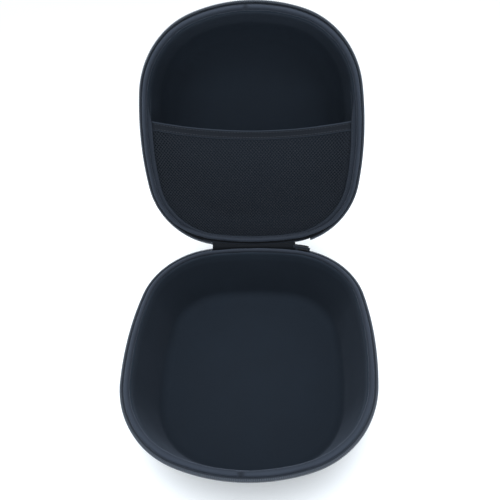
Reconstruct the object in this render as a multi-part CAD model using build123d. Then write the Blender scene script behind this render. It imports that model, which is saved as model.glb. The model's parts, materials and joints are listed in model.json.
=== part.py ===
"""Headphone carrying case: a moulded foam base and a lid on a sewn fabric hinge.

The base stands on its flat bottom, and the lid stands open behind it. +Z is up, -Y is the front and the
hinge is at the back. The origin is the middle of the face that the base rests on.

Every piece is first made in a "half frame" that the base and the lid share: the parting plane is z = 0, the
half rises to +z, and the hinge is at +y. The lid is the half frame lifted and turned open, and the base is the
half frame turned upside down. Insets are measured inwards from the outermost outline, which is the zip's.
"""

import os
from math import cos, radians, sin

from build123d import *

# --- Driving dimensions, in millimetres and degrees -------------------------------------------------------
CASE_LENGTH = 245.0  # front to back, over the zip
BASE_DEPTH = 72.0
LID_DEPTH = 48.0
OPEN_ANGLE = 104.0  # how far the lid stands open from closed

# The outline is five tangent arcs a side, from the middle of the hinge round to the middle of the front.
REAR_RADIUS, REAR_TURN = 325.0, 8.7
REAR_CORNER_RADIUS, REAR_CORNER_TURN = 79.0, 76.7
SIDE_TURN = 17.0
FRONT_CORNER_RADIUS, FRONT_CORNER_TURN = 86.0, 60.3
FRONT_TURN = 180.0 - REAR_TURN - REAR_CORNER_TURN - SIDE_TURN - FRONT_CORNER_TURN

# Wall layers, from outside in
COVER_THICKNESS = 0.8
FOAM_THICKNESS = 4.0
LINING_THICKNESS = 0.7
WALL_THICKNESS = COVER_THICKNESS + FOAM_THICKNESS + LINING_THICKNESS
WALL_DRAFT = 14.0  # degrees, past the upright band that the zip is sewn to
FLANGE_HEIGHT = 10.0  # top of that upright band, from the parting plane
BASE_ROUNDING = 18.0
LID_ROUNDING = 22.0

# Zip
COIL_THICKNESS = 2.0
COIL_LOW, COIL_HIGH = 0.5, 3.6  # distance from the parting plane
TAPE_THICKNESS = 1.0
TAPE_LOW, TAPE_HIGH = 2.0, 9.0
SHELL_INSET = COIL_THICKNESS + TAPE_THICKNESS

# Rolled rim on the edge of the wall
RIM_LOW, RIM_HIGH = 0.4, 4.6
RIM_WIDTH = 4.8
RIM_ROUNDING = 2.3
RIM_INNER_ROUNDING = 1.0
RIM_INSET = SHELL_INSET + RIM_WIDTH

# Hinge strip
HINGE_HALF_WIDTH = 48.0
AXIS_BEHIND = 1.4  # hinge axis to the outermost outline, inwards

# Mesh pocket in the lid; distances "up the lid" are from its hinge edge
POCKET_TOP = 147.8  # hem's top edge at its ends, on average
HEM_SAG = 13.5  # how much lower the hem is in the middle
HEM_TILT = 1.5  # degrees; the hem is sewn a little higher on the -x side
HEM_WIDTH = 9.0
HEM_THICKNESS = 2.0
MESH_THICKNESS = 0.8
MESH_LEVEL = 4.6  # from the parting plane
MESH_GAP = 0.3  # from the net's edge to the lining
BINDING_WIDTH = 5.0
BINDING_THICKNESS = 1.6
BINDING_TOP = 168.0  # the pocket's edge binding runs on above the hem to here

# Slider and pull
SLIDER_START, SLIDER_TURN = 3.0, 8.4  # turn of the rear corner arc where it is parked, and its length
SLIDER_HALF_HEIGHT = 4.4
CHANNEL_GAP = 0.3
PLATE_THICKNESS = 1.1
FLANGE_THICKNESS = 0.5
FLANGE_REACH = 1.6
INNER_PLATE_HALF_HEIGHT = 1.6
INNER_PLATE = (2.3, 3.2)
WEB_HALF_THICKNESS = 0.22
WEB_TURN = 1.9
JOINED_TURN = 13.0  # turn of the rear corner arc along which both coils stay joined
STOP_TURN = 2.2
END_GAP_TURN = 0.15
BOTTOM_STOP_PROUD, TOP_STOP_PROUD = 0.4, 0.2  # how far a crimp stands out of the coil that it holds
STOP_ROUNDING = 0.3
EAR_HEIGHT = 0.9
EAR_WALL = 0.4  # round the pin
EAR_GAP = 0.3  # from an ear to the pull's eye
BAIL_DROP = 0.6  # the loose pull hangs this far below the chain's middle
BAIL_PIN_RADIUS = 0.6
BAIL_HOLE_RADIUS = 0.9
BAIL_REACH = 1.85  # from the slider's plate to the pin
PULL_LENGTH = 15.0
PULL_WIDTH = 4.6
PULL_THICKNESS = 1.2
PULL_EYE_RADIUS = 1.5
PULL_EYE_HEIGHT = 2.6
PULL_NECK = 3.0
PULL_SHOULDER = 1.0  # from the eye to where the tab starts
PULL_ROUNDING = 1.2

OVERLAP = 0.05  # how far pieces of one solid run into each other where they are joined
CUT = 200.0  # height of a block that only cuts, more than any piece's

REAR = CASE_LENGTH / 2
AXIS_Y = REAR - AXIS_BEHIND


def heading(turn):
    """Unit tangent and inward normal of the outline after it has turned this far from the hinge."""
    angle = radians(turn)
    return Vector(cos(angle), -sin(angle)), Vector(-sin(angle), -cos(angle))


def chord(turn_from, turn_to):
    """Where an arc of radius 1 ends, if it starts at the origin and turns between these two headings."""
    start, end = radians(turn_from), radians(turn_to)
    return sin(end) - sin(start), cos(end) - cos(start)


def closing_radii():
    """The side and front radii that close the outline on the centre line at the case's length."""
    turns = [0.0]
    for turn in (REAR_TURN, REAR_CORNER_TURN, SIDE_TURN, FRONT_CORNER_TURN, FRONT_TURN):
        turns.append(turns[-1] + turn)
    chords = [chord(a, b) for a, b in zip(turns, turns[1:])]
    known = ((REAR_RADIUS, chords[0]), (REAR_CORNER_RADIUS, chords[1]), (FRONT_CORNER_RADIUS, chords[3]))
    left_x = -sum(radius * c[0] for radius, c in known)
    left_y = -CASE_LENGTH - sum(radius * c[1] for radius, c in known)
    (side_x, side_y), (front_x, front_y) = chords[2], chords[4]
    determinant = side_x * front_y - side_y * front_x
    side = (left_x * front_y - left_y * front_x) / determinant
    front = (side_x * left_y - side_y * left_x) / determinant
    return side, front


SIDE_RADIUS, FRONT_RADIUS = closing_radii()
HALF_ARCS = (
    (REAR_RADIUS, REAR_TURN),
    (REAR_CORNER_RADIUS, REAR_CORNER_TURN),
    (SIDE_RADIUS, SIDE_TURN),
    (FRONT_CORNER_RADIUS, FRONT_CORNER_TURN),
    (FRONT_RADIUS, FRONT_TURN),
)


def outline(inset, z=0.0):
    """The case's outline as a face, this far inside the outermost one: every arc keeps its centre."""
    arcs = HALF_ARCS[:-1] + ((FRONT_RADIUS, 2 * FRONT_TURN),) + HALF_ARCS[-2::-1]
    edges = []
    start, direction = Vector(0, REAR - inset, z), Vector(-1, 0, 0)
    for radius, turn in arcs:
        arc = JernArc(start, direction, radius - inset, turn)
        edges.append(arc)
        start, direction = arc @ 1, arc % 1
    return make_face(Wire(edges))


def corner_centre():
    """Centre of the rear corner arc on the +x side, about which the slider travels."""
    _, normal = heading(REAR_TURN)
    rear_centre = Vector(0, REAR - REAR_RADIUS)
    joint = rear_centre - normal * REAR_RADIUS
    return joint + normal * REAR_CORNER_RADIUS


CORNER = corner_centre()


def band(outer, inner, low, high):
    """An upright band between two insets and two levels, all the way round."""
    return extrude(outline(outer, low) - outline(inner, low), high - low)


def hinge_zone(half_width):
    """A block over the back of the case, where the hinge strip takes the zip's place."""
    return Pos(0, REAR, 0) * Box(2 * half_width, REAR, CUT)


def corner_x(turn, inset=0.0):
    """How far to the side the outline is, once it has made this turn of its rear corner."""
    _, normal = heading(REAR_TURN + turn)
    return (CORNER - normal * (REAR_CORNER_RADIUS - inset)).X


def chain_zone(start_turn):
    """The block that a coil leaves free, from the stop on the -x side to this turn of the +x corner."""
    left, right = corner_x(STOP_TURN), corner_x(start_turn)
    return Pos((right - left) / 2, REAR, 0) * Box(right + left, REAR, CUT)


def dome(inset, depth, rounding):
    """A solid hood from the rim's back to its top: an upright band, a drafted wall and a rounded edge."""
    upright = extrude(outline(inset, RIM_HIGH), FLANGE_HEIGHT - RIM_HIGH)
    drafted = extrude(outline(inset, FLANGE_HEIGHT), depth - FLANGE_HEIGHT, taper=WALL_DRAFT)
    drafted = fillet(drafted.edges().group_by(Axis.Z)[-1], rounding)
    return upright + drafted


def layer(outside, thickness, depth, rounding):
    """One layer of the wall, whose outer face is this far inside the shell's outer face."""
    outer = dome(SHELL_INSET + outside, depth - outside, rounding - outside)
    under = outside + thickness
    inner = dome(SHELL_INSET + under, depth - under, rounding - under)
    return outer - inner


def rim():
    """The soft roll that finishes the wall's edge."""
    ring = band(SHELL_INSET, RIM_INSET, RIM_LOW, RIM_HIGH)
    ring = fillet(ring.edges().group_by(Axis.Z)[0], RIM_ROUNDING)
    inner_edges = ring.edges().group_by(Axis.Z)[-1].sort_by(SortBy.LENGTH)
    return fillet([e for e in inner_edges if on_inset(e, RIM_INSET)], RIM_INNER_ROUNDING)


def on_inset(edge, inset):
    """Whether an edge runs along the outline at this inset, judged by its radius."""
    return any(abs(edge.radius - (radius - inset)) < 0.01 for radius, _ in HALF_ARCS)


def zip_tape(is_lid):
    """The woven tape, sewn round the outside of the upright band; the lid's starts past the joined end."""
    tape = band(COIL_THICKNESS, SHELL_INSET, TAPE_LOW, TAPE_HIGH)
    return tape - (chain_zone(JOINED_TURN) if is_lid else hinge_zone(HINGE_HALF_WIDTH))


def zip_coil(start_turn):
    """One side's row of teeth, as the plain bead that they fill."""
    return band(0, COIL_THICKNESS, COIL_LOW, COIL_HIGH) - chain_zone(start_turn)


def turned_block(outer, inner, low, high, turn_from, turn):
    """A block that follows the rear corner arc, between two insets, two levels and two turns."""
    section = Pos(-(REAR_CORNER_RADIUS - (outer + inner) / 2), 0, (low + high) / 2) * Rot(90, 0, 0)
    face = section * Rectangle(inner - outer, high - low)
    start = Pos(CORNER.X, CORNER.Y, 0) * Rot(0, 0, -90 - REAR_TURN - turn_from) * face
    return revolve(start, Axis((CORNER.X, CORNER.Y, 0), (0, 0, -1)), turn)


def joined_end():
    """The last stretch of the lid's coil, which stays joined to the base's."""
    start = STOP_TURN + END_GAP_TURN
    return turned_block(0, COIL_THICKNESS, COIL_LOW, COIL_HIGH, start, JOINED_TURN - start)


def bottom_stop():
    """The crimp that holds the two coils together beside the hinge."""
    proud = BOTTOM_STOP_PROUD
    turn = STOP_TURN - 2 * END_GAP_TURN
    stop = turned_block(-proud, COIL_THICKNESS, -COIL_HIGH - proud, COIL_HIGH + proud, END_GAP_TURN, turn)
    return fillet(stop.edges().filter_by(Axis.Z), STOP_ROUNDING)


def top_stop():
    """The crimp at the far end of one coil, on the -x side."""
    proud = TOP_STOP_PROUD
    turn = STOP_TURN - 2 * END_GAP_TURN
    stop = turned_block(-proud, COIL_THICKNESS, COIL_LOW, COIL_HIGH + proud, END_GAP_TURN, turn)
    return mirror(stop, Plane.YZ)


def hinge_strip():
    """A fabric strip over the back: a leg on each half, and the stretch that bends between them."""
    zone = hinge_zone(HINGE_HALF_WIDTH)
    leg = band(COIL_THICKNESS, SHELL_INSET, 0, TAPE_HIGH) & zone
    end = (outline(COIL_THICKNESS) - outline(SHELL_INSET)) & hinge_zone(HINGE_HALF_WIDTH)
    bend = revolve(end, Axis((0, AXIS_Y, 0), (-1, 0, 0)), OPEN_ANGLE)
    return to_base(leg) + Pos(0, 0, BASE_DEPTH) * bend + to_lid(leg)


def hem_curve(height):
    """The hem's line across the lid: lower in the middle than at its ends, and a little tilted."""
    y = REAR - height
    line = ThreePointArc((-REAR, y), (0, y + HEM_SAG), (REAR, y))
    middle = Axis((0, y + HEM_SAG, 0), (0, 0, 1))
    return line.rotate(middle, HEM_TILT)


def below_hem(height, low, high):
    """A block over the part of the lid between the hinge and the hem's line."""
    line = hem_curve(height)
    back = 2 * REAR
    right, left = line @ 1, line @ 0
    sides = Polyline(right, (right.X, back), (left.X, back), left)
    return Pos(0, 0, low) * extrude(make_face(Wire([line, *sides.edges()])), high - low)


def pocket_mesh():
    """The net, stretched across the lid from the hem down to the hinge side."""
    low, high = MESH_LEVEL, MESH_LEVEL + MESH_THICKNESS
    return extrude(outline(SHELL_INSET + WALL_THICKNESS + MESH_GAP, low), high - low) & below_hem(
        POCKET_TOP - HEM_WIDTH, low, high
    )


def pocket_hem():
    """The elastic band along the net's free edge."""
    low = MESH_LEVEL + MESH_THICKNESS / 2 - HEM_THICKNESS / 2
    inside = extrude(outline(RIM_INSET + BINDING_WIDTH, low), HEM_THICKNESS)
    strip = below_hem(POCKET_TOP, low, low + HEM_THICKNESS)
    strip -= below_hem(POCKET_TOP - HEM_WIDTH, low, low + HEM_THICKNESS)
    return inside & strip


def pocket_binding():
    """The tape that holds the net's edge to the rim and runs on a little above the hem."""
    high = MESH_LEVEL
    ring = band(RIM_INSET, RIM_INSET + BINDING_WIDTH, high - BINDING_THICKNESS, high)
    return ring & Pos(0, REAR - BINDING_TOP / 2, 0) * Box(2 * REAR, BINDING_TOP, CUT)


def slider():
    """The slider, turned about the rear corner's centre so that it follows the chain."""
    half, start, turn = SLIDER_HALF_HEIGHT, SLIDER_START, SLIDER_TURN
    gap_top = half - FLANGE_THICKNESS
    outside = -CHANNEL_GAP
    body = turned_block(outside - PLATE_THICKNESS, outside, -half, half, start, turn)
    for low, high in ((gap_top, half), (-half, -gap_top)):
        body += turned_block(outside - OVERLAP, FLANGE_REACH, low, high, start, turn)
    inner = INNER_PLATE_HALF_HEIGHT
    body += turned_block(*INNER_PLATE, -inner, inner, start, turn)
    web_start = start + turn - WEB_TURN
    body += turned_block(
        outside - OVERLAP, INNER_PLATE[0] + OVERLAP, -WEB_HALF_THICKNESS, WEB_HALF_THICKNESS, web_start, WEB_TURN
    )
    return body + bail()


def bail_place():
    """Where the pull's pin stands on the slider, as a location with x along the chain and y outwards."""
    turn = SLIDER_START + SLIDER_TURN / 2
    tangent, normal = heading(REAR_TURN + turn)
    out = CHANNEL_GAP + PLATE_THICKNESS + BAIL_REACH
    at = CORNER - normal * (REAR_CORNER_RADIUS + out)
    return Pos(at.X, at.Y, 0) * Rot(0, 0, -REAR_TURN - turn)


def bail():
    """Two ears on the slider's plate with the pin that the pull turns on."""
    radius = BAIL_PIN_RADIUS + EAR_WALL
    ears = Part()
    for side in (1, -1):
        z = -BAIL_DROP + side * (PULL_EYE_HEIGHT / 2 + EAR_GAP + EAR_HEIGHT / 2)
        ears += Pos(0, 0, z) * Cylinder(radius, EAR_HEIGHT)
        ears += Pos(0, -BAIL_REACH / 2 - OVERLAP, z) * Box(2 * radius, BAIL_REACH + 2 * OVERLAP, EAR_HEIGHT)
    pin = Pos(0, 0, -BAIL_DROP) * Cylinder(BAIL_PIN_RADIUS, PULL_EYE_HEIGHT + 2 * (EAR_GAP + 2 * OVERLAP))
    return bail_place() * (ears + pin)


def pull():
    """The pull tab, lying along the hinge from the slider."""
    eye = Cylinder(PULL_EYE_RADIUS, PULL_EYE_HEIGHT)
    shoulder = PULL_EYE_RADIUS + PULL_SHOULDER
    neck = Pos(-shoulder + EAR_WALL, 0, 0) * Box(PULL_NECK, PULL_THICKNESS, PULL_EYE_HEIGHT)
    tab_length = PULL_LENGTH - shoulder
    tab = Box(tab_length, PULL_THICKNESS, PULL_WIDTH)
    tab = fillet(tab.edges().filter_by(Axis.Y), PULL_ROUNDING)
    tab = Pos(-shoulder - tab_length / 2, 0, 0) * tab
    hole = Cylinder(BAIL_HOLE_RADIUS, CUT)
    return bail_place() * Pos(0, 0, -BAIL_DROP) * (eye + neck + tab - hole)


def open_lid(closed):
    """Turns a closed lid's piece about the hinge axis to where the lid stands."""
    return closed.rotate(Axis((0, AXIS_Y, BASE_DEPTH), (-1, 0, 0)), OPEN_ANGLE)


def to_base(piece):
    """A half-frame piece as a piece of the base."""
    return Pos(0, 0, BASE_DEPTH) * mirror(piece, Plane.XY)


def to_lid(piece):
    """A half-frame piece as a piece of the open lid."""
    return open_lid(Pos(0, 0, BASE_DEPTH) * piece)


def halves():
    """Both halves' shells, linings, rims and zip sides."""
    made = {}
    for half, depth, rounding, place in (
        ("base", BASE_DEPTH, BASE_ROUNDING, to_base),
        ("lid", LID_DEPTH, LID_ROUNDING, to_lid),
    ):
        layers = (
            ("outer_cover", 0.0, COVER_THICKNESS),
            ("foam_shell", COVER_THICKNESS, FOAM_THICKNESS),
            ("lining", COVER_THICKNESS + FOAM_THICKNESS, LINING_THICKNESS),
        )
        for name, outside, thickness in layers:
            made[f"{half}_{name}"] = place(layer(outside, thickness, depth, rounding))
        made[f"{half}_rim_roll"] = place(rim())
        made[f"{half}_zip_tape"] = place(zip_tape(half == "lid"))
        made[f"{half}_zip_coil"] = place(zip_coil(STOP_TURN if half == "base" else JOINED_TURN))
        made[f"{half}_zip_top_stop"] = place(top_stop())
    return made


def pieces():
    """Every piece of the case, by node name."""
    made = halves()
    made["hinge_strip"] = hinge_strip()
    lift = Pos(0, 0, BASE_DEPTH)
    made["zip_joined_end"] = lift * joined_end()
    made["zip_bottom_stop"] = lift * bottom_stop()
    made["slider_body"] = lift * slider()
    made["slider_pull"] = lift * pull()
    made["pocket_mesh"] = to_lid(pocket_mesh())
    made["pocket_hem"] = to_lid(pocket_hem())
    made["pocket_binding"] = to_lid(pocket_binding())
    return made


os.makedirs("parts", exist_ok=True)
for name, piece in pieces().items():
    piece.label = name
    export_step(piece, f"parts/{name}.step")
    print(f"{name}: {piece.volume / 1000:.2f} cm3")
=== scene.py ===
# %% [markdown]
# # A zip-up hard case for headphones
# The case stands open: a padded base, and a lid on a fabric hinge with a net pocket inside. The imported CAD
# model gives every size and every joint, so it is loaded first. Each visible piece is then made as the real
# maker would make it: swept, sewn or knitted, and placed where the CAD says.

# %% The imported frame
import json
from math import asin, atan2, ceil, cos, degrees, hypot, pi, radians, sin, tan, tau

import bmesh
import bpy
from mathutils import Matrix, Vector, noise


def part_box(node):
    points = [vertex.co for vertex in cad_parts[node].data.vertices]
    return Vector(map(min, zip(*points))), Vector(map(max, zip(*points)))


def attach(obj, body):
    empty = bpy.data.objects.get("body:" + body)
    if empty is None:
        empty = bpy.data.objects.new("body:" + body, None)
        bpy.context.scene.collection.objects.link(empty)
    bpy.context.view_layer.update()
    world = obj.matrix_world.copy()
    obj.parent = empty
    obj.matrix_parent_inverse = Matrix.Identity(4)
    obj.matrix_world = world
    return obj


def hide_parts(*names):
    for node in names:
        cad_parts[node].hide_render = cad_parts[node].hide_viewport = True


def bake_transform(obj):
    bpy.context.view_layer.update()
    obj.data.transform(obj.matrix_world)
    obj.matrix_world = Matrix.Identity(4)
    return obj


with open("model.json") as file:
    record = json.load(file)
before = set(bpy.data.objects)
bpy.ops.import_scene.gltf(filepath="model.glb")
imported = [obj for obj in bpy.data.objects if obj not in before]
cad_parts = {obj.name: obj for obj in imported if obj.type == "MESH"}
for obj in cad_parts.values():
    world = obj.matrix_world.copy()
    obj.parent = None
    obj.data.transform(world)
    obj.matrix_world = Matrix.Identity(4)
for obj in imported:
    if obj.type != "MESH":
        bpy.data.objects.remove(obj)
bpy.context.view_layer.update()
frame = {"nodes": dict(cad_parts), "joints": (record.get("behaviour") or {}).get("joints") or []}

# %% [markdown]
# ## The half frame
# The base and the lid are two halves of one shape. It is easiest to make each piece in a frame that both
# halves share, with the parting plane at z = 0, the hinge at the back and the shell rising to +z. Two
# matrices then carry a piece to the base, which is the half frame turned upside down, or to the lid, which
# is turned open about the hinge.

# %% Placing the two halves
MM = 0.001
joints = {joint["name"]: joint for joint in frame["joints"]}
hinge_axis = Vector(joints["lid_hinge"]["pos_m"])
OPEN_ANGLE = radians(-joints["lid_hinge"]["range_deg"][0])
REAR = -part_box("base_zip_coil")[0].y
LENGTH = 2 * REAR

TO_BASE = Matrix.Translation((0, 0, hinge_axis.z)) @ Matrix.Rotation(pi, 4, "Y")
TO_LID = (
    Matrix.Translation(hinge_axis)
    @ Matrix.Rotation(-OPEN_ANGLE, 4, "X")
    @ Matrix.Translation((0, -hinge_axis.y, 0))
)
HALVES = {"base": TO_BASE, "lid": TO_LID}
AT_PARTING = Matrix.Translation((0, 0, hinge_axis.z))


def depth_of(node, to_half):
    """How deep a CAD node reaches in the half frame, from the parting plane."""
    back = to_half.inverted()
    return max((back @ vertex.co).z for vertex in frame["nodes"][node].data.vertices)


DEPTH = {half: depth_of(f"{half}_outer_cover", place) for half, place in HALVES.items()}
print("length", round(LENGTH, 4), "open", round(degrees(OPEN_ANGLE), 1), "depths", DEPTH)

# %% [markdown]
# ## The outline
# The rim is five tangent arcs on each side. A heading says how far the outline has turned since the middle
# of the hinge, so one number gives a place, a direction along the rim and a direction out of it. Two of the
# radii follow from the others, because the arcs have to close on the case's length.

# %% Arcs of the rim
REAR_RADIUS, REAR_TURN = 325 * MM, radians(8.7)
CORNER_RADIUS, CORNER_TURN = 79 * MM, radians(76.7)
SIDE_TURN = radians(17)
FRONT_CORNER_RADIUS, FRONT_CORNER_TURN = 86 * MM, radians(60.3)
FRONT_TURN = pi - REAR_TURN - CORNER_TURN - SIDE_TURN - FRONT_CORNER_TURN


def outward(heading):
    """Direction out of the case, square to the rim."""
    return Vector((sin(heading), cos(heading), 0))


def closing_radii():
    """Radii of the side and the front, from two equations: the arcs end on the centre line, a length away."""
    headings = [0, REAR_TURN, REAR_TURN + CORNER_TURN]
    headings += [headings[2] + SIDE_TURN, pi - FRONT_TURN, pi]
    chords = [outward(b) - outward(a) for a, b in zip(headings, headings[1:])]
    known = chords[0] * REAR_RADIUS + chords[1] * CORNER_RADIUS + chords[3] * FRONT_CORNER_RADIUS
    left = Vector((0, -LENGTH, 0)) - known
    side, front = chords[2], chords[4]
    whole = side.x * front.y - side.y * front.x
    return (left.x * front.y - left.y * front.x) / whole, (side.x * left.y - side.y * left.x) / whole


SIDE_RADIUS, FRONT_RADIUS = closing_radii()


def arcs_of_the_rim():
    """Two laps of arcs as (centre, radius, first heading, last heading), from the middle of the front."""
    half = (
        (FRONT_RADIUS, FRONT_TURN),
        (FRONT_CORNER_RADIUS, FRONT_CORNER_TURN),
        (SIDE_RADIUS, SIDE_TURN),
        (CORNER_RADIUS, CORNER_TURN),
        (REAR_RADIUS, REAR_TURN),
    )
    lap = half + half[::-1]
    centre, heading, last = Vector((0, FRONT_RADIUS - REAR, 0)), -pi, FRONT_RADIUS
    arcs = []
    for radius, turn in lap + lap:
        centre = centre + outward(heading) * (last - radius)
        arcs.append((centre, radius, heading, heading + turn))
        heading, last = heading + turn, radius
    return arcs


ARCS = arcs_of_the_rim()


def place(heading, inset=0.0, height=0.0):
    """A matrix at a heading: x along the rim, y out and z up, with its origin this far inside the outline."""
    centre, radius, _, _ = next(arc for arc in ARCS if arc[2] - 1e-9 <= heading <= arc[3] + 1e-9)
    origin = centre + outward(heading) * (radius - inset) + Vector((0, 0, height))
    return Matrix.Translation(origin) @ Matrix.Rotation(-heading, 4, "Z")


def headings_along(start, end, spacing, inset=0.0):
    """Headings of evenly spaced places along the rim, between two headings."""
    met = [arc for arc in ARCS if arc[3] > start and arc[2] < end]
    runs = [(max(start, a), min(end, b), radius - inset) for _, radius, a, b in met]
    total = sum((b - a) * radius for a, b, radius in runs)
    count = max(1, round(total / spacing))
    found, passed = [], 0.0
    for a, b, radius in runs:
        length = (b - a) * radius
        while len(found) < count and (len(found) + 0.5) * total / count <= passed + length:
            found.append(a + ((len(found) + 0.5) * total / count - passed) / radius)
        passed += length
    return found


def heading_at(x, inset=0.0):
    """The heading at which the back of the rim is this far to the side."""
    if x <= (REAR_RADIUS - inset) * sin(REAR_TURN):
        return asin(x / (REAR_RADIUS - inset))
    centre, radius, _, _ = next(arc for arc in ARCS if abs(arc[2] - REAR_TURN) < 1e-9)
    return asin((x - centre.x) / (radius - inset))


print("side radius", round(SIDE_RADIUS / MM, 1), "front radius", round(FRONT_RADIUS / MM, 1))

# %% [markdown]
# ## Sweeping a section round the rim
# Most pieces of the case have one section all the way round. Spin turns the section about the centre of
# each arc in turn, and the arcs meet without a kink, so the swept piece is smooth. The cloth's own map is
# laid afterwards: u is the way along the rim and v the way across it, both in metres, so a weave keeps its
# real scale.

# %% The sweep
STEP = 3.4 * MM


def points_of(geom):
    return [item for item in geom if isinstance(item, bmesh.types.BMVert)]


def edges_of(geom):
    return [item for item in geom if isinstance(item, bmesh.types.BMEdge)]


def far_side(made):
    """The new points of an extrusion, and the new edges between them."""
    points = points_of(made)
    return points, [edge for edge in edges_of(made) if all(point in points for point in edge.verts)]


def join_up(bm, points, closed=True):
    """Edges from each point to the next, and back to the first one when the line is closed."""
    return [bm.edges.new(pair) for pair in zip(points, points[1:] + points[: 1 if closed else 0])]


def sweep(section, start=-pi, end=pi, closed=True, step=STEP):
    """Carries (inset, height) points round the rim between two headings and returns the bmesh."""
    bm = bmesh.new()
    at_start = place(start)
    points = [bm.verts.new(at_start @ Vector((0, -inset, height))) for inset, height in section]
    moving = points + join_up(bm, points, closed)
    full = end - start > tau - 1e-6
    if closed and not full:
        bmesh.ops.contextual_create(bm, geom=moving[len(points):])
    for centre, radius, first, last in ARCS:
        a, b = max(start, first), min(end, last)
        if b - a < 1e-6:
            continue
        steps = max(2, ceil((b - a) * radius / step))
        spun = bmesh.ops.spin(bm, geom=moving, cent=centre, axis=(0, 0, -1), angle=b - a, steps=steps)
        moving = spun["geom_last"]
    if closed and not full:
        bmesh.ops.contextual_create(bm, geom=edges_of(moving))
    bmesh.ops.remove_doubles(bm, verts=bm.verts, dist=1e-6)
    bmesh.ops.recalc_face_normals(bm, faces=bm.faces)
    return bm


def where(point):
    """The way along the rim and the inset of a point in the half frame: those of the arc nearest to it."""
    passed, found = 0.0, []
    for centre, radius, first, last in ARCS[:10]:
        away = point - centre
        heading = atan2(away.x, away.y)
        outside = max(first - heading, heading - last, 0)
        inset = radius - hypot(away.x, away.y)
        found.append((round(outside, 6), inset, passed + (heading - first) * radius))
        passed += (last - first) * radius
    _, inset, way = min(found)
    return way, inset


RIM_LENGTH = sum((last - first) * radius for _, radius, first, last in ARCS[:10])


def lay_map(bm, across):
    """Lays the cloth's map on a swept piece: u along the rim, and v from across(inset, height)."""
    layer = bm.loops.layers.uv.new("cloth")
    known = {}
    for vertex in bm.verts:
        way, inset = where(vertex.co)
        known[vertex] = (way, across(inset, vertex.co.z))
    for face in bm.faces:
        ways = [known[loop.vert][0] for loop in face.loops]
        wraps = max(ways) - min(ways) > RIM_LENGTH / 2
        for loop in face.loops:
            way, v = known[loop.vert]
            loop[layer].uv = (way + RIM_LENGTH * (wraps and way < RIM_LENGTH / 2), v)
    return bm


print("rim", round(RIM_LENGTH, 3), "m round")

# %% [markdown]
# ## Finishes written as sums
# Black cloth is all in its pattern: the colour hardly changes, so the weave, the nap and the sheen have to
# do the work. Each finish is written as arithmetic on the cloth's own coordinates. One small class wraps a
# socket, so that a sum adds the Math nodes, and every other node comes from one method.


# %% Shader arithmetic
class Wire:
    """One value in a material's tree, on which ordinary arithmetic works."""

    def __init__(self, finish, socket):
        self.finish, self.socket = finish, socket

    def maths(self, operation, *values):
        return self.finish.node("Math", {"operation": operation}, dict(enumerate(values)))

    def __add__(self, other):
        return self.maths("ADD", self, other)

    def __sub__(self, other):
        return self.maths("SUBTRACT", self, other)

    def __rsub__(self, other):
        return self.maths("SUBTRACT", other, self)

    def __mul__(self, other):
        return self.maths("MULTIPLY", self, other)

    def __truediv__(self, other):
        return self.maths("DIVIDE", self, other)

    def __pow__(self, other):
        return self.maths("POWER", self, other)

    def __abs__(self):
        return self.maths("ABSOLUTE", self)

    __radd__, __rmul__ = __add__, __mul__

    def sine(self):
        return self.maths("SINE", self)

    def sign(self):
        return self.maths("SIGN", self)

    def fraction(self):
        return self.maths("FRACT", self)

    def clamped(self):
        return self.finish.node("Clamp", {}, {"Value": self})


class Finish:
    """One material: its slot in the record, its shader, and the nodes that its pattern needs."""

    def __init__(self, name, slot, **sockets):
        self.material, self.slot = bpy.data.materials.new(name), slot
        self.material.use_nodes = True
        self.tree = self.material.node_tree
        self.shader = self.tree.nodes["Principled BSDF"]
        for socket, value in sockets.items():
            self.shader.inputs[socket.replace("_", " ")].default_value = value

    def node(self, kind, settings=(), sockets=(), out=0):
        made = self.tree.nodes.new(f"ShaderNode{kind}")
        for key, value in dict(settings).items():
            setattr(made, key, value)
        for key, value in dict(sockets).items():
            if isinstance(value, Wire):
                self.tree.links.new(value.socket, made.inputs[key])
            else:
                made.inputs[key].default_value = value
        return Wire(self, made.outputs[out])

    def split(self, vector):
        parts = self.node("SeparateXYZ", {}, {0: vector}).socket.node.outputs
        return [Wire(self, part) for part in parts]

    def cloth(self):
        """The cloth's own map: metres along and across."""
        return self.node("UVMap", {"uv_map": "cloth"})

    def place(self):
        return self.node("TexCoord", out="Object")

    def noise(self, vector, scale, detail=2.0, roughness=0.5):
        sockets = {"Vector": vector, "Scale": scale, "Detail": detail, "Roughness": roughness}
        return self.node("TexNoise", {}, sockets)

    def mix(self, low, high, factor):
        settings = {"data_type": "RGBA"}
        return self.node("Mix", settings, {0: factor, 6: (*low, 1), 7: (*high, 1)}, out=2)

    def wear(self, colour=None, roughness=None, heights=()):
        """Links what changes over the surface: its colour, its roughness and its (height, metres) reliefs."""
        if colour:
            self.tree.links.new(colour.socket, self.shader.inputs["Base Color"])
        if roughness:
            self.tree.links.new(roughness.socket, self.shader.inputs["Roughness"])
        normal = None
        for height, distance in heights:
            sockets = {"Height": height, "Distance": distance, "Strength": 1.0}
            if normal:
                sockets["Normal"] = normal
            normal = self.node("Bump", {}, sockets)
        if normal:
            self.tree.links.new(normal.socket, self.shader.inputs["Normal"])
        return self


# %% [markdown]
# ### Woven and knitted patterns
# A weave is two waves at right angles, of which the upper one changes at every crossing. A knit is a row of
# small chevrons. A herringbone is a twill whose slope turns back every few millimetres. Each pattern gives
# a height from 0 to 1, and the same height also darkens the colour in the hollows.


# %% Patterns
def weave(u, v, pitch):
    """Plain weave: threads along v lie over threads along u at every other crossing."""
    warp, weft = (u * (pi / pitch)).sine(), (v * (pi / pitch)).sine()
    over = (warp * weft).sign() * 0.5 + 0.5
    return abs(warp) ** 0.6 * over + abs(weft) ** 0.6 * (1 - over)


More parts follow.
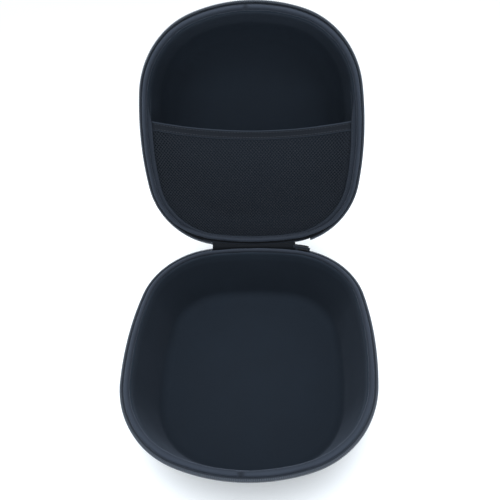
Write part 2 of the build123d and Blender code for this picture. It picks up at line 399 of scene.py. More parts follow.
def knit(u, v, pitch):
    """Jersey: columns of chevrons, each a little longer than it is wide."""
    column = abs((v / pitch).fraction() - 0.5)
    chevron = ((u / (pitch * 1.25) + column) * tau).sine() * 0.5 + 0.5
    ridge = 1 - abs(column - 0.25) * 4
    return (chevron * 0.6 + ridge * 0.4).clamped()


def herringbone(u, v, pitch, band):
    """Twill that turns back at the end of each band."""
    slope = abs((v / band).fraction() - 0.5) * (band / pitch)
    return ((u / pitch + slope) * tau).sine() * 0.5 + 0.5


# %% [markdown]
# ### The case's finishes
# The lining is a brushed tricot, whose nap is only noise, with a soft sheen; its colour is painted lighter
# near the rim, where light falls on the upper wall. The rim is a jersey stretched over foam, a little lighter
# because it faces the light, with a painted highlight along its crest. The outside is a coarse basket weave
# of polyester. The zip tape is herringbone, its teeth are nylon, and the slider is enamelled metal whose
# edges are polished by use.


# %% Making the finishes
def brushed_lining():
    sheen = {"Sheen_Weight": 0.08, "Sheen_Roughness": 0.45}
    made = Finish("brushed lining", "lining", Specular_IOR_Level=0.15, **sheen)
    made.shader.inputs["Sheen Tint"].default_value = (0.62, 0.76, 1.0, 1)
    at = made.place()
    nap, cloud = made.noise(at, 1500, 3.0, 0.7), made.noise(at, 26, 3.0)
    _, depth, _ = made.split(made.cloth())
    # Painted light: the lining's colour is lighter up to about 15 mm from the rim, where light falls on the
    # upper wall.
    painted_rim_light = ((0.0155 - depth) / 0.0110).clamped()
    tone = (nap * 0.45 + cloud * 0.35 + painted_rim_light * 1.15) * 0.55
    colour = made.mix((0.0045, 0.0078, 0.0130), (0.0195, 0.0288, 0.0418), tone)
    return made.wear(colour, cloud * 0.12 + 0.80, [(nap, 0.00016), (cloud, 0.0006)])


def stretched_jersey():
    sheen = {"Sheen_Weight": 0.25, "Sheen_Roughness": 0.40}
    made = Finish("stretched jersey", "rim_fabric", Specular_IOR_Level=0.2, **sheen)
    made.shader.inputs["Sheen Tint"].default_value = (0.66, 0.78, 1.0, 1)
    cloth, at = made.cloth(), made.place()
    u, v, _ = made.split(cloth)
    stitch, fuzz, cloud = knit(u, v, 0.0009), made.noise(at, 2200, 2.0), made.noise(at, 40, 3.0)
    # Painted highlight: the jersey's colour is lighter along the roll's crest, where the light falls.
    painted_crest_highlight = (1 - abs(v / 0.003 + 1.95) * 0.6).clamped()
    tone = stitch * 0.22 + fuzz * 0.1 + cloud * 0.22 + painted_crest_highlight * 0.6
    colour = made.mix((0.0062, 0.0090, 0.0142), (0.0278, 0.0372, 0.0545), tone)
    return made.wear(colour, fuzz * 0.15 + 0.68, [(stitch, 0.00012), (fuzz, 0.00005), (cloud, 0.0004)])


def ballistic_cover():
    sheen = {"Sheen_Weight": 0.12, "Sheen_Roughness": 0.5}
    made = Finish("woven cover", "outer_cover", Specular_IOR_Level=0.4, **sheen)
    cloth, at = made.cloth(), made.place()
    u, v, _ = made.split(cloth)
    threads, yarn, cloud = weave(u, v, 0.0011), made.noise(at, 3000, 2.0), made.noise(at, 18, 3.0)
    tone = threads * 0.6 + yarn * 0.15 + cloud * 0.25
    colour = made.mix((0.0090, 0.0098, 0.0118), (0.0300, 0.0318, 0.0365), tone)
    return made.wear(colour, 0.72 - threads * 0.22, [(threads, 0.00022), (yarn, 0.00004)])


def woven_tape(name, slot, pitch, band, low, high):
    made = Finish(name, slot, Sheen_Weight=0.04, Sheen_Roughness=0.45, Specular_IOR_Level=0.12)
    cloth, at = made.cloth(), made.place()
    u, v, _ = made.split(cloth)
    twill, fuzz = herringbone(u, v, pitch, band), made.noise(at, 2600, 2.0)
    colour = made.mix(low, high, twill * 0.7 + fuzz * 0.3)
    return made.wear(colour, fuzz * 0.1 + 0.72, [(twill, 0.00013), (fuzz, 0.00004)])


def ribbed_elastic(name, low, high, width=None):
    """Woven elastic; where a width is given, the band's colour is paler within about 1.3 mm of each edge."""
    made = Finish(name, "elastic", Sheen_Weight=0.12, Sheen_Roughness=0.4, Specular_IOR_Level=0.18)
    made.shader.inputs["Sheen Tint"].default_value = (0.66, 0.78, 1.0, 1)
    cloth, at = made.cloth(), made.place()
    u, v, _ = made.split(cloth)
    ribs, beat = abs((v * (pi / 0.0008)).sine()), abs((u * (pi / 0.0012)).sine())
    fuzz = made.noise(at, 2400, 2.0)
    tone = ribs * 0.2 + beat * 0.12 + fuzz * 0.12
    if width:
        from_edge = width / 2 - abs(v - width / 2)
        tone = tone + ((0.0013 - from_edge) * 1600).clamped() * 0.8
    colour = made.mix(low, high, tone)
    return made.wear(colour, fuzz * 0.15 + 0.70, [(ribs, 0.00010), (beat, 0.00006)])


def net_yarn():
    made = Finish("net yarn", "pocket_net", Roughness=0.68, Sheen_Weight=0.1, Specular_IOR_Level=0.2)
    at = made.place()
    strand = made.noise(at, 2800, 2.0)
    colour = made.mix((0.0066, 0.0096, 0.0150), (0.0155, 0.0218, 0.0325), strand)
    return made.wear(colour, None, [(strand, 0.00006)])


def moulded_foam():
    made = Finish("moulded foam", "foam", Specular_IOR_Level=0.3)
    at = made.place()
    cells = made.node("TexVoronoi", {}, {"Vector": at, "Scale": 1400})
    colour = made.mix((0.018, 0.019, 0.021), (0.034, 0.035, 0.038), cells)
    return made.wear(colour, cells * 0.2 + 0.75, [(cells, 0.00015)])


def nylon_teeth():
    made = Finish("nylon teeth", "zip_coil", Specular_IOR_Level=0.35)
    scuff = made.noise(made.place(), 900, 3.0)
    colour = made.mix((0.028, 0.036, 0.049), (0.055, 0.068, 0.089), scuff)
    return made.wear(colour, scuff * 0.25 + 0.42, [(scuff, 0.00003)])


def black_enamel():
    coat = {"Coat_Weight": 0.15, "Coat_Roughness": 0.25}
    made = Finish("black enamel", "slider_metal", Specular_IOR_Level=0.35, **coat)
    scuff = made.noise(made.place(), 520, 4.0, 0.65)
    worn = ((scuff - 0.66) * 14).clamped()
    colour = made.mix((0.006, 0.0068, 0.008), (0.13, 0.13, 0.135), worn)
    made.tree.links.new((worn * 0.9).socket, made.shader.inputs["Metallic"])
    return made.wear(colour, scuff * 0.25 + 0.24, [(scuff, 0.00003)])


def sewing_thread():
    made = Finish("sewing thread", "elastic", Specular_IOR_Level=0.3)
    twist = made.noise(made.place(), 4200, 1.0)
    colour = made.mix((0.014, 0.019, 0.027), (0.036, 0.047, 0.064), twist)
    return made.wear(colour, twist * 0.2 + 0.45, [(twist, 0.00005)])


LINING, JERSEY, COVER = brushed_lining(), stretched_jersey(), ballistic_cover()
TAPE = woven_tape("zip tape", "zip_tape", 0.0007, 0.0016, (0.013, 0.0170, 0.0235), (0.034, 0.043, 0.058))
# Painted shade: the hinge fabric's colours are nearly black, for the shadow that the strip lies in between
# the rims.
STRIP_PAINTED_SHADE_LOW, STRIP_PAINTED_SHADE_HIGH = (0.0016, 0.0024, 0.0040), (0.0058, 0.0080, 0.0115)
STRIP = woven_tape("hinge fabric", "hinge_fabric", 0.0008, 0.0024, STRIP_PAINTED_SHADE_LOW, STRIP_PAINTED_SHADE_HIGH)
BINDING_TAPE = ribbed_elastic("binding tape", (0.0100, 0.0140, 0.0215), (0.0300, 0.0400, 0.0580))
HEM_ELASTIC = ribbed_elastic("hem elastic", (0.0018, 0.0031, 0.0056), (0.0165, 0.0232, 0.0342), width=0.009)
NET, FOAM, TEETH = net_yarn(), moulded_foam(), nylon_teeth()
ENAMEL, THREAD = black_enamel(), sewing_thread()

# %% [markdown]
# ## Making a piece of the case
# A bmesh made in the half frame becomes an object here: it is carried to its half, smoothed, given its
# finish and told which body it rides on, and the CAD nodes that it stands for are hidden.


# %% Piece maker
def mesh_of(bm, name):
    """Puts a bmesh into a mesh of this name and lets the bmesh go."""
    mesh = bpy.data.meshes.new(name)
    bm.to_mesh(mesh)
    bm.free()
    return mesh


def piece(bm, name, body, finish, stands_for=(), to_half=None, smooth=True):
    """Turns a bmesh into an object that rides on a body."""
    if to_half:
        bmesh.ops.transform(bm, matrix=to_half, verts=bm.verts)
    mesh = mesh_of(bm, name)
    mesh.polygons.foreach_set("use_smooth", [smooth] * len(mesh.polygons))
    mesh.materials.append(finish.material)
    made = bpy.data.objects.new(name, mesh)
    bpy.context.scene.collection.objects.link(made)
    if body:
        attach(made, body)
    if stands_for:
        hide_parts(*stands_for)
    return made


def thicken(made, thickness, offset=-1.0):
    """Gives a sheet its thickness; an offset of -1 keeps its outer face where it is."""
    solid = made.modifiers.new("thickness", "SOLIDIFY")
    solid.thickness, solid.offset, solid.use_even_offset = thickness, offset, True
    return made


def loosen(bm, amount, size, seed=0.0):
    """Lets cloth lie a little unevenly: every point moves along its normal by a smooth noise."""
    bm.normal_update()
    moves = [noise.noise(vertex.co / size + Vector((seed, 0, 0))) * amount for vertex in bm.verts]
    for vertex, move in zip(bm.verts, moves):
        vertex.co += vertex.normal * move
    return bm


def repeat(template, matrices):
    """One bmesh that holds a copy of a small mesh at every matrix."""
    bm = bmesh.new()
    for matrix in matrices:
        copy = template.copy()
        copy.transform(matrix)
        bm.from_mesh(copy)
        bpy.data.meshes.remove(copy)
    return bm


# %% [markdown]
# ## Shells: cover and lining
# Both halves are moulded like a bowl. The wall's section is an upright band for the zip, a slope and a
# round corner. Spin carries that section round the rim, and the open middle is closed with rings that
# shrink towards the centre, each a little higher, so that the lid's top is faintly crowned as moulded foam
# is. The cover's map is stretched outwards from the middle, as flat cloth is when a mould presses it into a
# bowl.

# %% Wall section
COVER_INSET, WALL, COVER_CLOTH, LINING_CLOTH = 3.0 * MM, 5.5 * MM, 0.8 * MM, 0.7 * MM
LINING_INSET = COVER_INSET + WALL
BAND_HEIGHT, DRAFT = 10 * MM, radians(14)
ROUNDING = {"base": 18 * MM, "lid": 22 * MM}
FLOOR_CENTRE = Vector((0, -2 * MM, 0))


def wall_section(start, inset, depth, rounding, steps=12):
    """The wall from its upright band to where its floor begins, as (inset, height)."""
    slope = (sin(DRAFT), cos(DRAFT))
    foot = inset + (depth - BAND_HEIGHT) * tan(DRAFT)
    back = rounding * tan((pi / 2 - DRAFT) / 2)
    middle = (foot + back, depth - rounding)
    turns = [DRAFT + (pi / 2 - DRAFT) * step / steps for step in range(steps + 1)]
    corner = [(middle[0] - rounding * cos(turn), middle[1] + rounding * sin(turn)) for turn in turns]
    reach = (corner[0][1] - BAND_HEIGHT) / slope[1]
    count = max(2, round(reach / (4 * MM)))
    wall = [(inset, BAND_HEIGHT - 1.5 * MM), (inset + 0.1 * MM, BAND_HEIGHT + 0.6 * MM)]
    for k in range(1, count):
        wall.append((inset + slope[0] * reach * k / count, BAND_HEIGHT + slope[1] * reach * k / count))
    return [*start, *wall, *corner]


def close_floor(bm, height, crown, rings=9):
    """Closes a bowl's floor with shrinking rings; crown is how far its middle stands out."""
    edges = [e for e in bm.edges if e.is_boundary and min(v.co.z for v in e.verts) > height - 0.5 * MM]
    about = Matrix.Translation(-FLOOR_CENTRE)
    share = 1.0
    for ring in range(1, rings):
        wanted = 1 - ring / rings
        made = bmesh.ops.extrude_edge_only(bm, edges=edges)["geom"]
        verts, edges = far_side(made)
        bmesh.ops.scale(bm, vec=(wanted / share, wanted / share, 1), space=about, verts=verts)
        rise = crown * (share**2 - wanted**2)
        bmesh.ops.translate(bm, vec=(0, 0, rise), verts=verts)
        share = wanted
    bmesh.ops.contextual_create(bm, geom=edges)
    bmesh.ops.recalc_face_normals(bm, faces=bm.faces)


def lay_moulded_map(bm, section):
    """Lays a map that spreads from the floor's middle, as far as the cloth runs over the section."""
    edge, extra, run = section[-1], [], 0.0
    for (inset, height), (last_inset, last_height) in zip(section[::-1], [edge, *section[::-1]]):
        run += hypot(inset - last_inset, height - last_height)
        extra.append((height, run - (edge[0] - inset)))
    layer = bm.loops.layers.uv.new("cloth")
    for face in bm.faces:
        for loop in face.loops:
            point = loop.vert.co
            more = next((x for height, x in extra if point.z >= height - 1e-6), extra[-1][1])
            flat = Vector((point.x, point.y, 0)) - FLOOR_CENTRE
            away = max(flat.length, 1e-9)
            loop[layer].uv = (flat * ((away + more) / away)).xy


# The lining's edge is tucked under the roll, in (how far out, height) steps.
TUCKED_EDGE = (1.3 * MM, 3.4 * MM), (0.5 * MM, 4.3 * MM), (0.1 * MM, 5.8 * MM)


def shells():
    for half, to_half in HALVES.items():
        depth, rounding = DEPTH[half], ROUNDING[half]
        section = wall_section([(COVER_INSET, 4.4 * MM)], COVER_INSET, depth, rounding)
        bm = sweep(section, closed=False)
        close_floor(bm, depth, 1.3 * MM if half == "lid" else -0.35 * MM)
        lay_moulded_map(bm, section)
        cover = piece(bm, f"{half}_cover", half, COVER, [f"{half}_outer_cover"], to_half)
        thicken(cover, COVER_CLOTH)
        start = [(LINING_INSET - tuck, height) for tuck, height in TUCKED_EDGE]
        section = wall_section(start, LINING_INSET, depth - WALL, rounding - WALL)
        bm = sweep(section, closed=False)
        close_floor(bm, depth - WALL, -0.4 * MM)
        lay_map(bm, lambda inset, height: height)
        loosen(bm, 0.35 * MM, 30 * MM, seed=3.0 if half == "lid" else 8.0)
        bmesh.ops.reverse_faces(bm, faces=bm.faces)
        lining = piece(bm, f"{half}_inner_lining", half, LINING, [f"{half}_lining"], to_half)
        thicken(lining, LINING_CLOTH)
        foam = frame["nodes"][f"{half}_foam_shell"].data.materials
        foam.clear()
        foam.append(FOAM.material)
        print(half, "cover", len(cover.data.polygons), "lining", len(lining.data.polygons), "faces")


shells()

# %% [markdown]
# ## The rolled rim
# The wall's edge is finished with a soft roll of foam in jersey. Its section is a squarish oval, and it
# lies a little unevenly, as stretched jersey does. Beside the hinge, the lid's roll is set back to make
# room for a gusset.

# %% Rim rolls
ROLL_MIDDLE, ROLL_HALF = (5.3 * MM, 3.1 * MM), (2.4 * MM, 2.7 * MM)


def oval(middle, half, squareness=2.6, points=28):
    """A squarish oval section as (inset, height) points."""
    shape = []
    for k in range(points):
        c, s = cos(tau * k / points), sin(tau * k / points)
        reach = (abs(c) ** squareness + abs(s) ** squareness) ** (-1 / squareness)
        shape.append((middle[0] + half[0] * c * reach, middle[1] + half[1] * s * reach))
    return shape


def round_the_middle(middle):
    """Across-map for a roll: how far round its middle a point lies, in metres."""
    return lambda inset, height: atan2(height - middle[1], inset - middle[0]) * 3.0 * MM


REAR_SETBACK = 3.6 * MM


def set_back(bm, amount):
    """Moves the stretch beside the hinge inwards, where the roll makes room for the gusset."""
    for vertex in bm.verts:
        share = max(0.0, min(1.0, (vertex.co.y - REAR + 34 * MM) / (24 * MM)))
        vertex.co.y -= amount * share * share * (3 - 2 * share)


def rim_rolls():
    for half, to_half in HALVES.items():
        bm = sweep(oval(ROLL_MIDDLE, ROLL_HALF, 2.15))
        lay_map(bm, round_the_middle(ROLL_MIDDLE))
        if half == "lid":
            set_back(bm, REAR_SETBACK)
        loosen(bm, 0.25 * MM, 16 * MM, seed=1.0 if half == "lid" else 5.0)
        roll = piece(bm, f"{half}_roll", half, JERSEY, [f"{half}_rim_roll"], to_half)


rim_rolls()
print("roll", [round(2 * half / MM, 1) for half in ROLL_HALF], "mm across and high")

# %% [markdown]
# ## The zip
# Two woven tapes are sewn round the upright bands, and each carries a row of nylon teeth on its edge. A
# tooth is a bar with a wider head at the parting plane. One small mesh is copied along the rim every 1.5
# mm. The zip is open, so both rows end just short of the parting plane and don't interlock when the lid is
# shut. Beside the hinge they stay joined, on the base, and a folded edge of tape runs on along the lid.

# %% Tapes and teeth
HINGE_HALF = 48 * MM
TAPE_INSET, TAPE_CLOTH = 2.0 * MM, 1.0 * MM
TAPE_LOW, TAPE_HIGH = 2.0 * MM, 9.0 * MM
TOOTH_PITCH, TOOTH_SIZE = 1.5 * MM, (0.98 * MM, 1.9 * MM, 3.1 * MM)
TOOTH_MIDDLE = (1.0 * MM, 2.05 * MM)
CORNER_START = REAR_TURN
STOP_END, JOINED_END = CORNER_START + radians(2.2), CORNER_START + radians(13)
LID_ROW_START = JOINED_END + radians(0.7)
LEFT_END = tau - CORNER_START - radians(2.2)


def tooth_mesh():
    """One tooth round the origin: x along the rim, y out of it and z away from the parting plane."""
    bm = bmesh.new()
    bmesh.ops.create_cube(bm, size=1, matrix=Matrix.Diagonal((*TOOTH_SIZE, 1)))
    head = [v for v in bm.verts if v.co.z < 0]
    bmesh.ops.scale(bm, vec=(1.25, 0.9, 1), verts=head)
    bevel = {"affect": "EDGES", "segments": 1, "profile": 0.5, "material": -1}
    bmesh.ops.bevel(bm, geom=bm.edges[:], offset=0.2 * MM, **bevel)
    return mesh_of(bm, "tooth")


def row_of_teeth(name, body, node, start, end, to_half):
    """The teeth between two headings, and the cord that they are wound on."""
    tilt = Matrix.Rotation(radians(9), 4, "Y")
    turns = headings_along(start, end, TOOTH_PITCH, TOOTH_MIDDLE[0])
    mesh = tooth_mesh()
    bm = repeat(mesh, [place(turn, *TOOTH_MIDDLE) @ tilt for turn in turns])
    bpy.data.meshes.remove(mesh)
    piece(bm, f"{name}_teeth", body, TEETH, [node], to_half)
    middle, half = (1.2 * MM, 2.35 * MM), (0.95 * MM, 1.1 * MM)
    cord = sweep(oval(middle, half, 2.4, 16), start, end)
    lay_map(cord, round_the_middle(middle))
    piece(cord, f"{name}_coil_cord", body, TAPE, [node], to_half)
    print(name, "teeth", len(turns))


# To the base, x is turned round, so a stretch from a to b on the case is from -b to -a in its half frame.
def on_half(half, start, end):
    return (start, end) if half == "lid" else (tau - end, tau - start)


def zip_sides():
    for half, to_half in HALVES.items():
        beside_hinge = heading_at(HINGE_HALF)
        first = LID_ROW_START if half == "lid" else beside_hinge
        start, end = on_half(half, first, tau - beside_hinge)
        middle = (TAPE_INSET + TAPE_CLOTH / 2, (TAPE_LOW + TAPE_HIGH) / 2)
        bm = sweep(oval(middle, (TAPE_CLOTH / 2, (TAPE_HIGH - TAPE_LOW) / 2), 6.0, 24), start, end)
        lay_map(bm, lambda inset, height: height)
        loosen(bm, 0.12 * MM, 9 * MM, seed=2.0)
        piece(bm, f"{half}_tape", half, TAPE, [f"{half}_zip_tape"], to_half)
        first = LID_ROW_START if half == "lid" else STOP_END
        start, end = on_half(half, first, LEFT_END)
        row_of_teeth(half, half, f"{half}_zip_coil", start, end, to_half)
    middle, half = (1.1 * MM, 6.2 * MM), (0.8 * MM, 1.2 * MM)
    bm = sweep(oval(middle, half, 2.4, 16), beside_hinge, JOINED_END)
    lay_map(bm, round_the_middle(middle))
    piece(bm, "lid_tape_edge", "lid", TAPE, ["lid_zip_tape"], TO_LID)
    row_of_teeth("joined_end", "base", "zip_joined_end", STOP_END + radians(0.15), JOINED_END, AT_PARTING)
    middle, half = (2.35 * MM, 1.4 * MM), (0.3 * MM, 3.6 * MM)
    bm = sweep(oval(middle, half, 6.0, 24), heading_at(HINGE_HALF - 1 * MM), JOINED_END)
    lay_map(bm, lambda inset, height: height)
    piece(bm, "joined_tape", "base", TAPE, ["zip_joined_end"], AT_PARTING)


zip_sides()

# %% [markdown]
# ### Stops
# Each row of teeth ends in a small nylon crimp, pressed over the last teeth. The one beside the hinge holds
# both rows together.

# %% Stops
def crimp(name, body, node, outer, low, high, start, end, to_half):
    middle = ((outer + 2.0 * MM) / 2, (low + high) / 2)
    half = ((2.0 * MM - outer) / 2, (high - low) / 2)
    bm = sweep(oval(middle, half, 5.0, 20), start, end, step=0.5 * MM)
    made = piece(bm, name, body, TEETH, [node], to_half)
    edges = made.modifiers.new("edges", "BEVEL")
    edges.width, edges.segments, edges.angle_limit = 0.3 * MM, 3, radians(50)
    return made


def stops():
    first, last = CORNER_START + radians(0.15), CORNER_START + radians(2.05)
    for half, to_half in HALVES.items():
        start, end = on_half(half, tau - last, tau - first)
        node = f"{half}_zip_top_stop"
        crimp(f"{half}_top_stop", half, node, -0.2 * MM, 0.5 * MM, 3.8 * MM, start, end, to_half)
    crimp("bottom_stop", "base", "zip_bottom_stop", -0.4 * MM, -4.0 * MM, 4.0 * MM, first, last, AT_PARTING)


stops()
print("joined end", round((JOINED_END - STOP_END) * CORNER_RADIUS / MM, 1), "mm long")

# %% [markdown]
# ### The slider and its pull
# The slider is cast in two plates with flanges that hold the teeth. A bail is looped over its face, and the
# pull hangs on the bail. The slider is parked beside the hinge, round the corner arc, so it follows that
# arc.

# %% Slider
SLIDER_FROM, SLIDER_TURN = CORNER_START + radians(3.0), radians(8.4)
SLIDER_MIDDLE = SLIDER_FROM + SLIDER_TURN / 2
BAIL_OUT, BAIL_DROP = (0.3 + 1.1 + 1.85) * MM, 0.6 * MM
AT_BAIL = AT_PARTING @ place(SLIDER_MIDDLE, -BAIL_OUT) @ Matrix.Translation((0, 0, -BAIL_DROP))


def soften(made, width, segments=3):
    edges = made.modifiers.new("edges", "BEVEL")
    edges.width, edges.segments, edges.angle_limit = width, segments, radians(35)
    edges.harden_normals = False
    return made


def slider():
    last = SLIDER_FROM + SLIDER_TURN
    lower = [(-1.4, -4.4), (1.6, -4.4), (1.6, -3.9), (-0.3, -3.9)]
    shell = lower + [(a, -z) for a, z in lower[::-1]]
    bm = sweep([(a * MM, z * MM) for a, z in shell], SLIDER_FROM, last, step=1.5 * MM)
    soften(piece(bm, "slider_outer_plate", "slider", ENAMEL, ["slider_body"], AT_PARTING), 0.22 * MM)
    wedge = [(-0.35, -0.22), (2.35, -0.22), (2.35, 0.22), (-0.35, 0.22)]
    bm = sweep([(a * MM, z * MM) for a, z in wedge], last - radians(1.9), last, step=1 * MM)
    piece(bm, "slider_wedge", "slider", ENAMEL, ["slider_body"], AT_PARTING)
    inner = [(2.3, -1.6), (3.2, -1.6), (3.2, 1.6), (2.3, 1.6)]
    bm = sweep([(a * MM, z * MM) for a, z in inner], SLIDER_FROM, last, step=1.5 * MM)
    soften(piece(bm, "slider_inner_plate", "slider", ENAMEL, ["slider_body"], AT_PARTING), 0.2 * MM)


def ring_of(section, steps=40):
    """A closed ring about z from a closed section of (radius, height) points."""
    bm = bmesh.new()
    points = [bm.verts.new((radius, 0, height)) for radius, height in section]
    edges = join_up(bm, points)
    spin = {"cent": (0, 0, 0), "axis": (0, 0, 1), "angle": tau, "steps": steps, "use_merge": True}
    bmesh.ops.spin(bm, geom=points + edges, **spin)
    bmesh.ops.remove_doubles(bm, verts=bm.verts, dist=1e-7)
    bmesh.ops.recalc_face_normals(bm, faces=bm.faces)
    return bm


def bail():
    """Two cast ears on the slider's plate, with the pin between them."""
    bm = bmesh.new()
    for side in (1, -1):
        height = side * (2.6 / 2 + 0.3 + 0.45) * MM
        ear = bmesh.new()
        outline = [(cos(t) * 1.0 * MM, sin(t) * 1.0 * MM) for t in (pi * k / 12 for k in range(13))]
        outline += [(-1.1 * MM, -1.95 * MM), (1.1 * MM, -1.95 * MM)]
        face = ear.faces.new([ear.verts.new((x, y, height - 0.45 * MM)) for x, y in outline])
        top = points_of(bmesh.ops.extrude_face_region(ear, geom=[face])["geom"])
        bmesh.ops.translate(ear, vec=(0, 0, 0.9 * MM), verts=top)
        bmesh.ops.recalc_face_normals(ear, faces=ear.faces)
        mesh = mesh_of(ear, "ear")
        bm.from_mesh(mesh)
        bpy.data.meshes.remove(mesh)
    soften(piece(bm, "slider_ears", "slider", ENAMEL, ["slider_body"], AT_BAIL), 0.18 * MM)
    pin = bmesh.new()
    sizes = {"radius1": 0.6 * MM, "radius2": 0.6 * MM, "depth": 3.6 * MM}
    bmesh.ops.create_cone(pin, cap_ends=True, segments=32, **sizes)
    piece(pin, "slider_pin", "slider", ENAMEL, ["slider_body"], AT_BAIL)


def pull():
    """A flat tab with an eye at one end and a moulded grip along it."""
    section = oval((1.2 * MM, 0.0), (0.3 * MM, 1.3 * MM), 5.0, 20)
    piece(ring_of(section), "pull_eye", "pull", ENAMEL, ["slider_pull"], AT_BAIL)
    tab = bmesh.new()
    left, right, half = -15.0 * MM, -1.35 * MM, 2.3 * MM
    neck, shoulder = right - 1.6 * MM, right - 3.4 * MM
    outline = [(right, -1.1 * MM), (right, 1.1 * MM), (neck, 1.5 * MM), (shoulder, half)]
    centre = left + half + 0.6 * MM
    for k in range(17):
        turn = pi / 2 + pi * k / 16
        outline.append((centre + cos(turn) * (half + 0.6 * MM), sin(turn) * half))
    outline += [(shoulder, -half), (neck, -1.5 * MM)]
    face = tab.faces.new([tab.verts.new((x, -0.6 * MM, z)) for x, z in outline])
    inner = bmesh.ops.inset_individual(tab, faces=[face], thickness=0.7 * MM)
    top = points_of(bmesh.ops.extrude_face_region(tab, geom=tab.faces[:])["geom"])
    bmesh.ops.translate(tab, vec=(0, 1.2 * MM, 0), verts=top)
    bmesh.ops.recalc_face_normals(tab, faces=tab.faces)
    for face in tab.faces[:]:
        if len(face.verts) > 8:
            direction = 1 if face.calc_center_median().y > 0 else -1
            for vertex in face.verts:
                vertex.co.y -= direction * 0.22 * MM
    soften(piece(tab, "pull_tab", "pull", ENAMEL, ["slider_pull"], AT_BAIL), 0.2 * MM)
    print("pull inset", len(inner["faces"]), "faces")


slider()
bail()
pull()

# %% [markdown]
# ## The hinge strip
# A strip of webbing is sewn to the back of both halves, and it is the whole hinge. It runs down the base's
# band, round the opening and up the lid's band, as it lies with the lid open. Its thickness isn't evened out
# at the creases, because that would throw spikes where it folds flat. A gusset with a corded edge fills the
# gap to the lid's roll.

# %% Hinge strip
STRIP_INSET, STRIP_LEG, STRIP_SPARE = 2.5 * MM, 9.0 * MM, 1.2 * MM


def hinge_strip():
    bm = bmesh.new()
    limit = heading_at(HINGE_HALF + STRIP_SPARE, STRIP_INSET)
    turns = [-limit + 2 * limit * k / 60 for k in range(61)]
    foot = hinge_axis.z - STRIP_LEG
    points = [bm.verts.new(place(turn, STRIP_INSET, foot).translation) for turn in turns]
    edges = join_up(bm, points, closed=False)

    def extend(edges, step, count):
        for _ in range(count):
            made = bmesh.ops.extrude_edge_only(bm, edges=edges)["geom"]
            moved, edges = far_side(made)
            bmesh.ops.translate(bm, vec=step, verts=moved)
        return edges

    edges = extend(edges, Vector((0, 0, STRIP_LEG / 6)), 6)
    last = {v for e in edges for v in e.verts}
    spin = {"cent": hinge_axis, "axis": (-1, 0, 0), "angle": OPEN_ANGLE, "steps": 14}
    turned = bmesh.ops.spin(bm, geom=[*last, *edges], **spin)["geom_last"]
    extend(edges_of(turned), TO_LID.to_3x3() @ Vector((0, 0, STRIP_LEG / 6)), 6)
    bmesh.ops.remove_doubles(bm, verts=bm.verts, dist=1e-7)
    bmesh.ops.recalc_face_normals(bm, faces=bm.faces)
    front = max(bm.faces, key=lambda face: -face.calc_center_median().z)
    if front.normal.y < 0:
        bmesh.ops.reverse_faces(bm, faces=bm.faces)
    layer = bm.loops.layers.uv.new("cloth")
    for face in bm.faces:
        for loop in face.loops:
            away = loop.vert.co - hinge_axis
            turn = max(0.0, min(OPEN_ANGLE, atan2(away.z, -away.y)))
            across = min(away.z, 0) + turn * 3 * MM + max(0.0, (TO_LID.inverted() @ loop.vert.co).z)
            loop[layer].uv = (loop.vert.co.x, across)
    strip = piece(bm, "webbing_hinge", None, STRIP, ["hinge_strip"])
    thicken(strip, 1.0 * MM, offset=0.0)
    strip.modifiers["thickness"].use_even_offset = False
    reach = Vector((0, -2 * MM, 0))
    turned = Matrix.Rotation(-OPEN_ANGLE, 3, "X") @ reach
    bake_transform(strip)
    return strip


def gusset():
    """A folded band between the webbing and the lid's roll, with a thin corded edge."""
    middle, size = (4.6 * MM, 2.2 * MM), (1.9 * MM, 0.5 * MM)
    end = heading_at(84 * MM)
    bm = sweep(oval(middle, size, 4.0, 20), -end, end)
    lay_map(bm, lambda inset, height: inset)
    piece(bm, "lid_gusset", "lid", STRIP, ["lid_rim_roll"], TO_LID)
    middle, size = (3.65 * MM, 2.5 * MM), (0.85 * MM, 0.9 * MM)
    end = heading_at(62 * MM)
    bm = sweep(oval(middle, size, 2.0, 14), -end, end)
    lay_map(bm, lambda inset, height: inset)
    piece(bm, "lid_gusset_cord", "lid", BINDING_TAPE, ["lid_rim_roll"], TO_LID)


gusset()
WEBBING = hinge_strip()
bows = [x * x / 2 / REAR_RADIUS for x in (0, HINGE_HALF / 2, HINGE_HALF)]
bend = sum(abs(hinge_axis.y - (REAR - STRIP_INSET) + bow) for bow in bows) / len(bows)
strip_flat = (2 * (HINGE_HALF + STRIP_SPARE), 2 * STRIP_LEG + bend * OPEN_ANGLE)
print("strip cut to", [round(side / MM, 1) for side in strip_flat], "mm")

# %% [markdown]
# ## The pocket
# A net is stretched over the lid, from an elastic hem down to the hinge. The net is a grid turned to
# diamonds: every cell is inset and its middle taken away, which leaves strands joined at their crossings.
# The cells outside the binding and above the hem are taken away before that.

# %% Net
POCKET_TOP, HEM_SAG, HEM_WIDTH, HEM_TILT = 147.8 * MM, 13.5 * MM, 9 * MM, radians(1.5)
NET_LEVEL, NET_INSET, CELL = 5.0 * MM, 9.8 * MM, 2.6 * MM
HEM_RADIUS = (REAR**2 + HEM_SAG**2) / (2 * HEM_SAG)
HEM_MIDDLE = Vector((0, REAR - POCKET_TOP + HEM_SAG, 0))
HEM_CENTRE = HEM_MIDDLE - Vector((-sin(HEM_TILT), cos(HEM_TILT), 0)) * HEM_RADIUS


def below_the_hem(point, margin=0.0):
    """Whether a point of the half frame lies between the hem's lower edge and the hinge."""
    flat = Vector((point.x, point.y, 0)) - HEM_CENTRE
    return flat.length > HEM_RADIUS + HEM_WIDTH + margin


